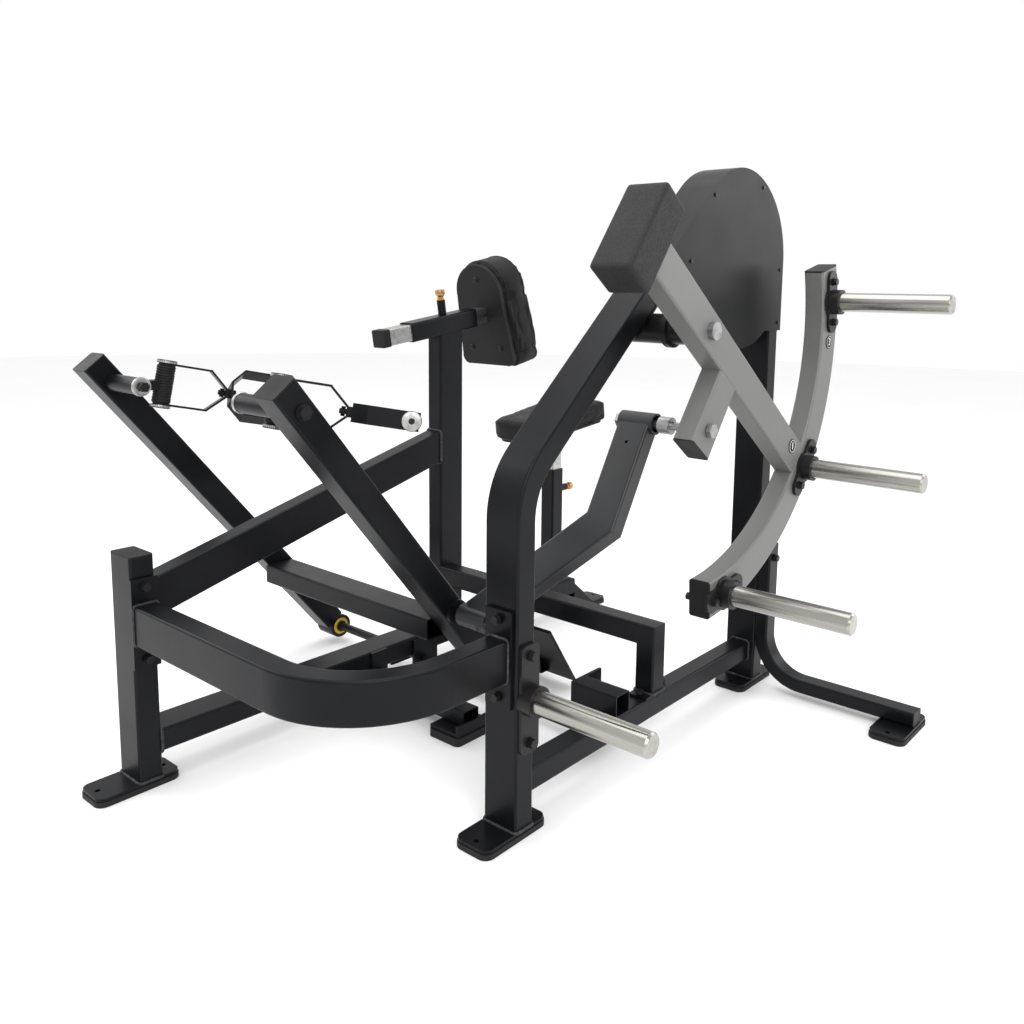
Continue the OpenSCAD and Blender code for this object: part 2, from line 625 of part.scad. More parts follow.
// k = 1 near arm (handle toward +Y), k = -1 far arm
module handle_stub(k) color("#1d1e21") at() handle_at(k) difference() {
    union() {
        rotate([-k * 90, 0, 0]) translate([0, 0, 2]) cylinder(h = stub_len - 4, d = 43);
        translate([hub_off, k * hub_y, 0]) rotate([0, droop, 0]) cylinder(h = 96, d = 42, center = true);
        translate([0, k * hub_y - 15, -12]) cube([hub_off - 14, 30, 24]);
    }
    rotate([90, 0, 0]) cylinder(h = 500, d = 16.08, center = true);
    translate([hub_off, k * hub_y, 0]) rotate([0, droop, 0]) cylinder(h = 120, d = 12, center = true);
}
module yoke_frame(k) translate([hub_off, k * hub_y, 0]) rotate([0, droop, 0]) rotate([0, 0, yaw[k + 1]])
    children();
module handle_yoke(k) color("#1b1c1f") at() handle_at(k) yoke_frame(k) difference() {
    union() {
        for (m = [0, 1]) mirror([0, 0, m]) {
            translate([0, 0, 48.4]) cylinder(h = 5, d = 38);
            translate([0, -15, 48.4]) cube([108, 30, 5]);
            translate([0, 0, 52]) cylinder(h = 8, d = 47);
            translate([105.5, -15, 50.9]) rotate([0, 133.5, 0]) translate([-2.5, 0, 0]) cube([5, 30, 62]);
        }
        translate([yoke_l - 14, -15, -12]) cube([12, 30, 24]);
        cylinder(h = 110, d = 11.9, center = true);
    }
    translate([100, 0, 0]) rotate([0, 90, 0]) cylinder(h = 80, d = 12);
}
module roll_frame(k) yoke_frame(k) translate([yoke_l - 1.6, 0, 0]) rotate([roll[k + 1], 0, 0]) children();
module grip_frame(k) color("#1b1c1f") at() handle_at(k) roll_frame(k) difference() {
    union() {
        for (m = [0, 1]) mirror([0, m, 0]) translate([0, 0, -21]) linear_extrude(42)
            polygon([[0, -1], [0, 26], [34, 66], [grip_l + 18, 66], [grip_l + 18, 61], [36, 61], [6, 25], [6, -1]]);
        translate([-28, 0, 0]) rotate([0, 90, 0]) cylinder(h = 33, d = 11.9);
        translate([-24, 0, 0]) rotate([0, 90, 0]) cylinder(h = 9, d = 22, $fn = 6);
        translate([5, 0, 0]) rotate([0, 90, 0]) cylinder(h = 10, d = 22, $fn = 6);
    }
    translate([grip_l, 0, 0]) rotate([90, 0, 0]) cylinder(h = 140, d = 14, center = true);
}
module grip(k) color("#141416") at() handle_at(k) roll_frame(k) translate([grip_l, 0, 0]) rotate([90, 0, 0])
    union() {
        cylinder(h = 121, d = 36, center = true);
        cylinder(h = 150, d = 13.9, center = true);
        for (m = [-1, 1]) translate([0, 0, m * 70.5]) cylinder(h = 8, d = 44, center = true);
    }
module handle_stub_near() handle_stub(1);
module handle_yoke_near() handle_yoke(1);
module grip_frame_near() grip_frame(1);
module grip_near() grip(1);
module handle_stub_far() handle_stub(-1);
module handle_yoke_far() handle_yoke(-1);
module grip_frame_far() grip_frame(-1);
module grip_far() grip(-1);

// ---- chest pad ----
module sleeve_frame() translate([chest_x, spine_y, sleeve_z]) rotate([0, -sleeve_tilt, 0]) children();
module chest_sleeve() color("#1b1c20") at() difference() {
    union() {
        sleeve_frame() translate([-148, 0, 0]) rotate([0, 90, 0]) linear_extrude(252) sect(54, 54, 4.5);
        translate([chest_x - 40, spine_y - 27, chest_top]) cube([80, 54, 5]);
        sleeve_frame() translate([-8, 0, 25]) cylinder(h = 45, d = 24);
        sleeve_frame() translate([0, 0, 0]) difference() {
            translate([-40, -24, -36]) cube([80, 48, 10]);
        }
    }
    sleeve_frame() translate([-8, 0, 20]) cylinder(h = 60, d = 12);
}
slide_w = 44.9;
module slide_sect() difference() {
    rr(slide_w, slide_w, 3);
    rr(slide_w - 5, slide_w - 5, 2);
}
module chest_slider() color("#b7b8ba") at() sleeve_frame() difference() {
    translate([-228, 0, 0]) rotate([0, 90, 0]) linear_extrude(384) slide_sect();
    translate([150, 0, 0]) rotate([0, -4, 0]) translate([-0.02, -60, -60]) cube([40, 120, 120]);
    for (i = [-3:3]) translate([-8 + i * 20, 0, 0]) cylinder(h = 30, d = 11);
}
module pad_frame() sleeve_frame() translate([150, 0, 0]) rotate([0, -4, 0]) children();
module chest_plate() color("#121316") at() pad_frame() rotate([0, 90, 0])
    linear_extrude(14) union() {
        translate([-62, 0]) circle(90);
        polygon([[-60, -89.7], [-60, 89.7], [129, 105.2], [129, -105.2]]);
        translate([100, -79]) square([56.6, 158]);
        for (s = [-1, 1]) translate([133, s * 82]) circle(24);
    }
module chest_pad() color("#1c1c1e") at() pad_frame() translate([14.3, 0, 0]) rotate([0, 90, 0])
    linear_extrude(100) union() {
        translate([-64, 0]) circle(100);
        polygon([[-62, -99.7], [-62, 99.7], [132, 112.8], [132, -112.8]]);
        translate([100, -80]) square([66.5, 160]);
        for (s = [-1, 1]) translate([137, s * 84]) circle(30);
    }
module pop_pin() union() {
    cylinder(h = 72, d = 9);
    translate([0, 0, 50]) cylinder(h = 14, d = 15);
    translate([0, 0, 62]) cylinder(h = 14, d = 26);
}
module chest_pin() color("#b98a3a") at() sleeve_frame() translate([-8, 0, 22.9]) pop_pin();

// ---- seat ----
seat_top_z = 527;
module seat_post() color("#1b1c20") at() difference() {
    union() {
        translate([seat_x, spine_y, rail_top]) linear_extrude(seat_top_z - rail_top) sect(54, 54, 4.5);
        translate([seat_x, spine_y, 452]) rotate([0, 90, 0]) cylinder(h = 27 + 44, d = 24);
        translate([seat_x - 60, spine_y - 40, rail_top]) cube([120, 80, 8]);
    }
    translate([seat_x + 20, spine_y, 452]) rotate([0, 90, 0]) cylinder(h = 60, d = 12);
    translate([seat_x - 22.5, spine_y - 22.5, rail_top - 1]) cube([45, 45, seat_top_z]);
}
module seat_slider() color("#b7b8ba") at() difference() {
    translate([seat_x, spine_y, 290]) linear_extrude(366) slide_sect();
    for (i = [-3:3]) translate([seat_x, spine_y, 452 + i * 20]) rotate([0, 90, 0]) cylinder(h = 30, d = 11);
    seat_frame() translate([-200, -60, -12.02]) cube([400, 120, 60]);
}
module seat_frame() translate([600, spine_y, 662]) rotate([0, -seat_tilt, 0]) children();
module seat_outline(g = 0) union() {
    polygon([[-140 + g, -94.6 + g], [-140 + g, 94.6 - g], [152 - g, 117.2 - g], [152 - g, -117.2 + g]]);
    translate([-189.6 + g, -44 + g]) square([80, 88 - 2 * g]);
    for (s = [-1, 1]) translate([-142 + g, s * (47 - g)]) circle(48);
    translate([120 - g, -85 + g]) square([65.6, 170 - 2 * g]);
    for (s = [-1, 1]) translate([156 - g, s * (88 - g)]) circle(30);
}
module seat_plate() color("#121316") at() union() {
    seat_frame() translate([0, 0, -1]) linear_extrude(8) seat_outline(14);
    intersection() {
        translate([seat_x - 45, spine_y - 35, 630]) cube([90, 70, 60]);
        seat_frame() translate([-100, -60, -12]) cube([200, 120, 12]);
    }
}
module seat_pad() color("#1c1c1e") at() seat_frame() translate([0, 0, 7.3]) linear_extrude(60) seat_outline();
module seat_pin() color("#b98a3a") at() translate([seat_x + 22.9, spine_y, 452]) rotate([0, 90, 0]) pop_pin();
module slider_caps() color("#101113") at() {
    sleeve_frame() translate([-252, 0, 0]) rotate([0, 90, 0]) linear_extrude(24) rr(slide_w + 3, slide_w + 3, 4);
}

main_arch();
near_rail();
front_post();
guard_tube();
far_rail();
chest_post();
slope_tube();
seat_brace();
outrigger();
rubber_feet();
tube_end_caps();
frame_bolts();
shield_front();
shield_back();
arch_bearings();
storage_horn();
storage_flange();
stop_block();
axle_hanger();
lever_axle();
side_step();
step_tread();
weight_arm();
horn_arc();
counterweight();
pivot_shaft();
horn_flanges();
flange_bolts();
horn_top();
horn_middle();
horn_bottom();
arm_caps();
arm_pin();
number_discs();
row_lever();
lever_bearings();
lever_caps();
lever_bolts();
drive_link();
link_pin();
link_bushes();
handle_stub_near();
handle_yoke_near();
grip_frame_near();
grip_near();
handle_stub_far();
handle_yoke_far();
grip_frame_far();
grip_far();
chest_sleeve();
chest_slider();
chest_plate();
chest_pad();
chest_pin();
seat_post();
seat_slider();
seat_plate();
seat_pad();
seat_pin();
slider_caps();
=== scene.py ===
import json, math
import bpy
import numpy as np
from mathutils import Matrix, Vector
from mathutils.bvhtree import BVHTree

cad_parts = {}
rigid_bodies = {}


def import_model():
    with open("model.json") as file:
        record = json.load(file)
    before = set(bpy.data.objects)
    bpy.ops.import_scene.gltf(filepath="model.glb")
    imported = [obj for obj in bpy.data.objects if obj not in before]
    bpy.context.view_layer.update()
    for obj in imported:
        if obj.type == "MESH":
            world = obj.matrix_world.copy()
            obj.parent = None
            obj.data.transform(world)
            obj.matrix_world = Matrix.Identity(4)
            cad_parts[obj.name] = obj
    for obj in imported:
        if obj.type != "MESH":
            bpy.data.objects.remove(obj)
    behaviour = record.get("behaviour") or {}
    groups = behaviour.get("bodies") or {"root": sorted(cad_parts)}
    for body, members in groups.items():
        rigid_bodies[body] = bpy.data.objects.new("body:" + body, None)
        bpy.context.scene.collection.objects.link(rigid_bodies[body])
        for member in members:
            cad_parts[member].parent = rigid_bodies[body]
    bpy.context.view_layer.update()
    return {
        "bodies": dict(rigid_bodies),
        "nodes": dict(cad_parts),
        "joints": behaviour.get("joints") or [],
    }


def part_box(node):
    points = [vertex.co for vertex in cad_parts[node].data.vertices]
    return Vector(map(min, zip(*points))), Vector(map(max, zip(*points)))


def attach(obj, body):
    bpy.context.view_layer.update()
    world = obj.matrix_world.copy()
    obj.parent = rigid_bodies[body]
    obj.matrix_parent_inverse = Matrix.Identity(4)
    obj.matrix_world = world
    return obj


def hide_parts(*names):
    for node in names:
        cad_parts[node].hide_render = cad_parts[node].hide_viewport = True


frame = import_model()
nodes = frame["nodes"]
print("frame loaded:", len(nodes), "nodes")


# ---- shader helpers ----

def newMaterial(name, color, roughness, metallic=0.0, **sockets):
    mat = bpy.data.materials.new(name)
    mat.use_nodes = True
    bsdf = mat.node_tree.nodes["Principled BSDF"]
    bsdf.inputs["Base Color"].default_value = (*color, 1)
    bsdf.inputs["Roughness"].default_value = roughness
    bsdf.inputs["Metallic"].default_value = metallic
    for key, value in sockets.items():
        bsdf.inputs[key.replace("_", " ")].default_value = value
    return mat, mat.node_tree, bsdf


def objectCoords(tree, scale=(1, 1, 1), turn=(0, 0, 0)):
    coords = tree.nodes.new("ShaderNodeTexCoord")
    mapping = tree.nodes.new("ShaderNodeMapping")
    mapping.inputs["Scale"].default_value = scale
    mapping.inputs["Rotation"].default_value = turn
    tree.links.new(coords.outputs["Object"], mapping.inputs["Vector"])
    return mapping.outputs["Vector"]


def noise(tree, vector, scale, detail=3.0, roughness=0.55):
    node = tree.nodes.new("ShaderNodeTexNoise")
    node.inputs["Scale"].default_value = scale
    node.inputs["Detail"].default_value = detail
    node.inputs["Roughness"].default_value = roughness
    tree.links.new(vector, node.inputs["Vector"])
    return node.outputs["Fac"]


def ramp(tree, value, low, high, fromLow=0.0, fromHigh=1.0):
    node = tree.nodes.new("ShaderNodeMapRange")
    node.inputs["From Min"].default_value = fromLow
    node.inputs["From Max"].default_value = fromHigh
    node.inputs["To Min"].default_value = low
    node.inputs["To Max"].default_value = high
    tree.links.new(value, node.inputs["Value"])
    return node.outputs["Result"]


def colorRamp(tree, value, stops):
    node = tree.nodes.new("ShaderNodeValToRGB")
    marks = node.color_ramp.elements
    while len(marks) < len(stops):
        marks.new(0.5)
    for mark, (at, color) in zip(marks, stops):
        mark.position, mark.color = at, (*color, 1)
    tree.links.new(value, node.inputs["Fac"])
    return node.outputs["Color"]


def bump(tree, bsdf, height, strength, distance, under=None):
    node = tree.nodes.new("ShaderNodeBump")
    node.inputs["Strength"].default_value = strength
    node.inputs["Distance"].default_value = distance
    tree.links.new(height, node.inputs["Height"])
    if under:
        tree.links.new(under, node.inputs["Normal"])
    tree.links.new(node.outputs["Normal"], bsdf.inputs["Normal"])
    return node.outputs["Normal"]


# ---- finishes ----

def powderCoat(name, color, roughness=0.34, peel=0.08, dust=0.4, gloss=0.14):
    # a smooth sprayed film: fine orange peel, faint dust and rubbed patches
    mat, tree, bsdf = newMaterial(name, color, roughness, Specular_IOR_Level=gloss,
                                  Coat_Weight=0.03, Coat_Roughness=0.14)
    at = objectCoords(tree)
    cloud = noise(tree, at, 5.0, 5.0)
    fine = noise(tree, at, 900.0, 2.0)
    clean, dusty = [c * 0.85 for c in color], [c * (1 + dust) + 0.002 for c in color]
    tint = colorRamp(tree, cloud, [(0.3, clean), (0.75, dusty)])
    tree.links.new(tint, bsdf.inputs["Base Color"])
    tree.links.new(ramp(tree, cloud, roughness - 0.05, roughness + 0.1, 0.3, 0.75), bsdf.inputs["Roughness"])
    bump(tree, bsdf, fine, peel, 0.0004)
    return mat


def sprayedSilver(name):
    # grey metallic paint with fine flake and a few handling marks
    mat, tree, bsdf = newMaterial(name, (0.16, 0.16, 0.155), 0.42, 0.3, Specular_IOR_Level=0.3)
    at = objectCoords(tree)
    flake = noise(tree, at, 1400.0, 1.0)
    cloud = noise(tree, at, 6.0, 4.0)
    mix = tree.nodes.new("ShaderNodeMath"); mix.operation = "MULTIPLY"
    tree.links.new(flake, mix.inputs[0]); tree.links.new(ramp(tree, cloud, 0.8, 1.2), mix.inputs[1])
    tint = colorRamp(tree, mix.outputs[0], [(0.25, (0.125, 0.126, 0.120)), (0.75, (0.19, 0.191, 0.183))])
    tree.links.new(tint, bsdf.inputs["Base Color"])
    tree.links.new(ramp(tree, cloud, 0.36, 0.5, 0.3, 0.7), bsdf.inputs["Roughness"])
    bump(tree, bsdf, flake, 0.06, 0.0003)
    return mat


def turnedSteel(name, color=(0.38, 0.37, 0.34), roughness=0.2, along="Y"):
    # lathe marks run round the bar; plates have rubbed faint bands along it
    mat, tree, bsdf = newMaterial(name, color, roughness, 1.0, Anisotropic=0.35)
    scale = {"X": (900, 4, 4), "Y": (4, 900, 4), "Z": (4, 4, 900)}[along]
    rings = noise(tree, objectCoords(tree, scale), 1.0, 2.0)
    band = {"X": (3, 60, 60), "Y": (60, 3, 60), "Z": (60, 60, 3)}[along]
    wear = noise(tree, objectCoords(tree, band), 1.0, 4.0)
    tint = colorRamp(tree, wear, [(0.3, [c * 0.8 for c in color]), (0.7, [min(1, c * 1.12) for c in color])])
    tree.links.new(tint, bsdf.inputs["Base Color"])
    tree.links.new(ramp(tree, wear, roughness - 0.06, roughness + 0.14, 0.3, 0.7), bsdf.inputs["Roughness"])
    bump(tree, bsdf, rings, 0.12, 0.0003)
    return mat


def zincPlate(name, color=(0.44, 0.445, 0.43), roughness=0.3):
    # bright plating over drawn tube: long streaks and a little spangle
    mat, tree, bsdf = newMaterial(name, color, roughness, 1.0)
    streak = noise(tree, objectCoords(tree, (8, 400, 60)), 1.0, 3.0)
    spot = noise(tree, objectCoords(tree), 70.0, 4.0)
    tint = colorRamp(tree, spot, [(0.35, [c * 0.72 for c in color]), (0.7, [min(1, c * 1.1) for c in color])])
    tree.links.new(tint, bsdf.inputs["Base Color"])
    tree.links.new(ramp(tree, streak, roughness - 0.08, roughness + 0.15, 0.3, 0.7), bsdf.inputs["Roughness"])
    bump(tree, bsdf, streak, 0.08, 0.0003)
    return mat


def hideLeather(name):
    # upholstery vinyl: cell grain over soft puckers, slightly glossy on the crowns
    mat, tree, bsdf = newMaterial(name, (0.004, 0.004, 0.0045), 0.46, Specular_IOR_Level=0.16)
    at = objectCoords(tree)
    cells = tree.nodes.new("ShaderNodeTexVoronoi"); cells.feature = "DISTANCE_TO_EDGE"
    cells.inputs["Scale"].default_value = 520.0
    tree.links.new(at, cells.inputs["Vector"])
    pucker = noise(tree, at, 26.0, 4.0)
    cloud = noise(tree, at, 9.0, 3.0)
    tint = colorRamp(tree, cloud, [(0.3, (0.003, 0.003, 0.0035)), (0.75, (0.007, 0.007, 0.0075))])
    tree.links.new(tint, bsdf.inputs["Base Color"])
    tree.links.new(ramp(tree, pucker, 0.38, 0.56, 0.3, 0.7), bsdf.inputs["Roughness"])
    soft = bump(tree, bsdf, pucker, 0.2, 0.003)
    bump(tree, bsdf, ramp(tree, cells.outputs["Distance"], 0, 1, 0, 0.12), 0.35, 0.0005, soft)
    return mat


def castSkin(name, color=(0.0125, 0.0125, 0.0125), grain=260.0, strength=0.4):
    # thick textured coat, like splattered rubber over a casting
    mat, tree, bsdf = newMaterial(name, color, 0.62, Specular_IOR_Level=0.3)
    at = objectCoords(tree)
    coarse = noise(tree, at, grain, 4.0, 0.65)
    cloud = noise(tree, at, 12.0, 4.0)
    tint = colorRamp(tree, cloud, [(0.3, [c * 0.8 for c in color]), (0.75, [c * 1.3 for c in color])])
    tree.links.new(tint, bsdf.inputs["Base Color"])
    tree.links.new(ramp(tree, coarse, 0.5, 0.78, 0.3, 0.7), bsdf.inputs["Roughness"])
    bump(tree, bsdf, coarse, strength, 0.0016)
    return mat


def mouldedBlack(name, color=(0.006, 0.006, 0.0065), roughness=0.5, grain=700.0):
    mat, tree, bsdf = newMaterial(name, color, roughness, Specular_IOR_Level=0.2)
    at = objectCoords(tree)
    cloud = noise(tree, at, 14.0, 4.0)
    tint = colorRamp(tree, cloud, [(0.3, [c * 0.8 for c in color]), (0.75, [c * 1.5 for c in color])])
    tree.links.new(tint, bsdf.inputs["Base Color"])
    tree.links.new(ramp(tree, cloud, roughness - 0.06, roughness + 0.1, 0.3, 0.7), bsdf.inputs["Roughness"])
    bump(tree, bsdf, noise(tree, at, grain, 2.0), 0.2, 0.0004)
    return mat


def weldMetal(name):
    # blued, slightly sooty bead under thin paint
    mat, tree, bsdf = newMaterial(name, (0.05, 0.05, 0.052), 0.42, 0.6)
    at = objectCoords(tree)
    heat = noise(tree, at, 90.0, 4.0)
    soot, metal, bright = (0.014, 0.014, 0.016), (0.05, 0.05, 0.052), (0.12, 0.12, 0.12)
    tint = colorRamp(tree, heat, [(0.3, soot), (0.62, metal), (0.8, bright)])
    tree.links.new(tint, bsdf.inputs["Base Color"])
    bump(tree, bsdf, noise(tree, at, 500.0, 3.0), 0.4, 0.0006)
    return mat


blackCoat = powderCoat("satin black powder coat", (0.0028, 0.0031, 0.0044))
coverCoat = powderCoat("cover's fine black coat", (0.0042, 0.0045, 0.0052), 0.40, 0.2)
linkCoat = powderCoat("link's black coat", (0.012, 0.0125, 0.014), 0.36, gloss=0.4)
silverCoat = sprayedSilver("grey metallic arm paint")
hornSteel = turnedSteel("turned horn steel")
shaftSteel = turnedSteel("ground shaft steel", (0.38, 0.38, 0.385), 0.3)
slideZinc = zincPlate("zinc slide tube")
ringChrome = zincPlate("bright cap ring", (0.42, 0.42, 0.41), 0.3)
brassGold = zincPlate("gold knob", (0.55, 0.27, 0.07), 0.26)
leather = hideLeather("black upholstery leather")
sleeveCloth = hideLeather("pad sleeve leather")
blockSkin = castSkin("textured counterweight skin")
rubber = castSkin("foot rubber", (0.008, 0.008, 0.0085), 420.0, 0.3)
gripRubber = mouldedBlack("ribbed grip rubber", (0.007, 0.007, 0.0075), 0.6)
capPlastic = mouldedBlack("tube cap plastic")
boltBlack = mouldedBlack("black oxide bolt", (0.009, 0.009, 0.0095), 0.34, 1200.0)
boardBlack = mouldedBlack("pad backing board", (0.006, 0.006, 0.0065), 0.5)
bearingYellow = mouldedBlack("yellow bearing shield", (0.45, 0.33, 0.03), 0.4)
weldBlack = weldMetal("painted weld bead")
markWhite = mouldedBlack("white number ink", (0.75, 0.75, 0.73), 0.5)

finishes = {
    blackCoat: """main_arch near_rail front_post guard_tube far_rail chest_post slope_tube seat_brace outrigger
        stop_block axle_hanger side_step row_lever chest_sleeve seat_post handle_yoke_near handle_yoke_far
        grip_frame_near grip_frame_far handle_stub_near handle_stub_far""",
    coverCoat: "shield_front shield_back",
    linkCoat: "drive_link",
    silverCoat: "weight_arm horn_arc",
    hornSteel: "horn_top horn_middle horn_bottom storage_horn",
    shaftSteel: "pivot_shaft arm_pin link_bushes",
    slideZinc: "chest_slider seat_slider chest_pin seat_pin",
    blockSkin: "counterweight",
    rubber: "rubber_feet step_tread",
    gripRubber: "grip_near grip_far",
    capPlastic: "tube_end_caps arm_caps lever_caps slider_caps number_discs",
    boltBlack: """frame_bolts arch_bearings storage_flange horn_flanges flange_bolts lever_bolts link_pin
        lever_axle""",
    boardBlack: "chest_plate seat_plate",
    bearingYellow: "lever_bearings",
    leather: "chest_pad seat_pad",
}
for mat, names in finishes.items():
    for name in names.split():
        mesh = nodes[name].data
        mesh.materials.clear()
        mesh.materials.append(mat)
print("finishes on CAD nodes")


# ---- mesh helpers ----

def bodyOf(node):
    return next(b for b, e in frame["bodies"].items() if nodes[node].parent == e)


def meshObject(name, verts, faces, mat, smooth=True):
    mesh = bpy.data.meshes.new(name)
    mesh.from_pydata([tuple(v) for v in np.asarray(verts).tolist()], [], [tuple(f) for f in faces])
    mesh.validate()
    mesh.materials.append(mat)
    mesh.polygons.foreach_set("use_smooth", [smooth] * len(mesh.polygons))
    obj = bpy.data.objects.new(name, mesh)
    bpy.context.collection.objects.link(obj)
    return obj


def gridFaces(rows, cols, closedRows=False, closedCols=False):
    # quads of a rows x cols grid of points, wrapped where a direction is closed
    r = np.arange(rows if closedRows else rows - 1)[:, None]
    c = np.arange(cols if closedCols else cols - 1)[None, :]
    r1, c1 = (r + 1) % rows, (c + 1) % cols
    quads = np.stack([r * cols + c, r * cols + c1, r1 * cols + c1, r1 * cols + c], -1)
    return quads.reshape(-1, 4).tolist()


def frameOf(axis):
    # two directions square to the axis, and the axis itself, as columns
    w = np.asarray(axis, float) / np.linalg.norm(axis)
    helper = np.array([0, 0, 1.0]) if abs(w[2]) < 0.9 else np.array([1.0, 0, 0])
    u = np.cross(helper, w); u /= np.linalg.norm(u)
    return np.stack([u, np.cross(w, u), w], 1)


def spun(name, profile, origin, axis, mat, sides=64, ribs=0, ribDepth=0.0):
    # profile rows are (radius, height); radius is rippled by ribs cosine teeth round the axis
    profile = np.asarray(profile, float)
    turn = np.linspace(0, 2 * math.pi, sides, endpoint=False)
    tooth = 1 - ribDepth * (0.5 + 0.5 * np.cos(ribs * turn)) if ribs else np.ones(sides)
    radius = profile[:, 0:1] * tooth[None, :]
    local = np.stack([radius * np.cos(turn), radius * np.sin(turn), np.repeat(profile[:, 1:2], sides, 1)], -1)
    verts = local.reshape(-1, 3) @ frameOf(axis).T + np.asarray(origin, float)
    faces = [f[::-1] for f in gridFaces(len(profile), sides, closedCols=True)]
    last = (len(profile) - 1) * sides
    faces += [list(range(sides))[::-1], list(range(last, last + sides))]
    obj = meshObject(name, verts, [f[::-1] if len(f) == 4 else f for f in faces], mat)
    return sharpen(obj)


def sharpen(obj, angle=35):
    # keeps turned corners crisp under smooth shading
    obj.data.set_sharp_from_angle(angle=math.radians(angle))
    return obj


def tubeAlong(name, path, radius, mat, sides=10, closed=False, ripple=0.0, pitch=0.004):
    # a round section carried along a path; the radius swells once per pitch for a weld's ripples
    path = np.asarray(path, float)
    ahead = np.roll(path, -1, 0) - np.roll(path, 1, 0)
    if not closed:
        ahead[0], ahead[-1] = path[1] - path[0], path[-1] - path[-2]
    ahead /= np.linalg.norm(ahead, axis=1)[:, None]
    helper = np.where(np.abs(ahead[:, 2:3]) < 0.9, [[0, 0, 1.0]], [[1.0, 0, 0]])
    u = np.cross(helper, ahead); u /= np.linalg.norm(u, axis=1)[:, None]
    v = np.cross(ahead, u)
    run = np.concatenate([[0], np.cumsum(np.linalg.norm(np.diff(path, axis=0), axis=1))])
    swell = radius * (1 + ripple * np.abs(np.sin(math.pi * run / pitch)))
    turn = np.linspace(0, 2 * math.pi, sides, endpoint=False)
    ring = (u[:, None] * np.cos(turn)[None, :, None] + v[:, None] * np.sin(turn)[None, :, None])
    verts = (path[:, None] + ring * swell[:, None, None]).reshape(-1, 3)
    faces = gridFaces(len(path), sides, closed, True)
    if not closed:
        faces += [list(range(sides))[::-1], list(range((len(path) - 1) * sides, len(path) * sides))]
    return meshObject(name, verts, faces, mat)


def resample(path, step, closed=False):
    path = np.asarray(path, float)
    if closed:
        path = np.concatenate([path, path[:1]])
    run = np.concatenate([[0], np.cumsum(np.linalg.norm(np.diff(path, axis=0), axis=1))])
    count = max(3, int(run[-1] / step))
    at = np.linspace(0, run[-1], count, endpoint=not closed)
    return np.stack([np.interp(at, run, path[:, k]) for k in range(3)], 1)


def joined(name, objects):
    bpy.ops.object.select_all(action="DESELECT")
    for o in objects:
        o.select_set(True)
    bpy.context.view_layer.objects.active = objects[0]
    bpy.ops.object.join()
    objects[0].name = name
    return objects[0]


# ---- camera, light and floor ----

view = {"place": (-1.728, -1.5635, 1.125), "yaw": 38.81, "pitch": 7.94, "roll": 1.04, "lens": 32.52,
        "shift": (-0.057, -0.0898)}


def aimCamera():
    yaw, pitch, roll = (math.radians(view[k]) for k in ("yaw", "pitch", "roll"))
    ahead = Vector((math.cos(yaw) * math.cos(pitch), math.sin(yaw) * math.cos(pitch), -math.sin(pitch)))
    right = Vector((math.sin(yaw), -math.cos(yaw), 0))
    up = right.cross(ahead)
    right, up = (right * math.cos(roll) + up * math.sin(roll), up * math.cos(roll) - right * math.sin(roll))
    data = bpy.data.cameras.new("mainCamera")
    data.lens, data.sensor_width = view["lens"], 36
    data.shift_x, data.shift_y = view["shift"]
    cam = bpy.data.objects.new("mainCamera", data)
    bpy.context.collection.objects.link(cam)
    basis = Matrix((right, up, -ahead)).transposed().to_4x4()
    cam.matrix_world = Matrix.Translation(view["place"]) @ basis
    bpy.context.scene.camera = cam


lamps = {
    "keySoftbox": {"at": (-2.6, -3.2, 3.4), "size": 3.0, "power": 105},
    "fillSoftbox": {"at": (3.4, -2.6, 2.4), "size": 2.6, "power": 55},
    "topSoftbox": {"at": (0.0, 0.2, 4.2), "size": 3.6, "power": 85},
    "backSoftbox": {"at": (-1.5, 3.6, 2.8), "size": 2.6, "power": 50},
}


def lightStudio():
    for name, spec in lamps.items():
        light = bpy.data.lights.new(name, "AREA")
        light.shape, light.size, light.energy = "SQUARE", spec["size"], spec["power"]
        lamp = bpy.data.objects.new(name, light)
        bpy.context.collection.objects.link(lamp)
        lamp.location = spec["at"]
        lamp.rotation_euler = (Vector((0, 0, 0.6)) - lamp.location).to_track_quat("-Z", "Y").to_euler()
    world = bpy.data.worlds.new("studio")
    world.use_nodes = True
    world.node_tree.nodes["Background"].inputs["Color"].default_value = (1.0, 1.0, 1.0, 1)
    world.node_tree.nodes["Background"].inputs["Strength"].default_value = 1.0
    bpy.context.scene.world = world
    bpy.context.scene.view_settings.view_transform = "Standard"
    ring = np.linspace(0, 2 * math.pi, 96, endpoint=False)
    rim = np.stack([14 * np.cos(ring), 14 * np.sin(ring), 0 * ring - 0.0005], 1)
    mat, tree, bsdf = newMaterial("pale studio floor", (0.95, 0.95, 0.95), 0.6)
    cloud = noise(tree, objectCoords(tree), 1.3)
    tint = colorRamp(tree, cloud, [(0.3, (0.94, 0.94, 0.942)), (0.7, (0.96, 0.96, 0.96))])
    tree.links.new(tint, bsdf.inputs["Base Color"])
    floor = meshObject("studioFloor", rim, [list(range(96))], mat, False)


aimCamera()
lightStudio()
print("camera and studio")


# ---- cushions ----

cushion = {"voxel": 0.005, "pressure": 4.0, "frames": 20, "inset": 0.0015, "cap": 0.006}


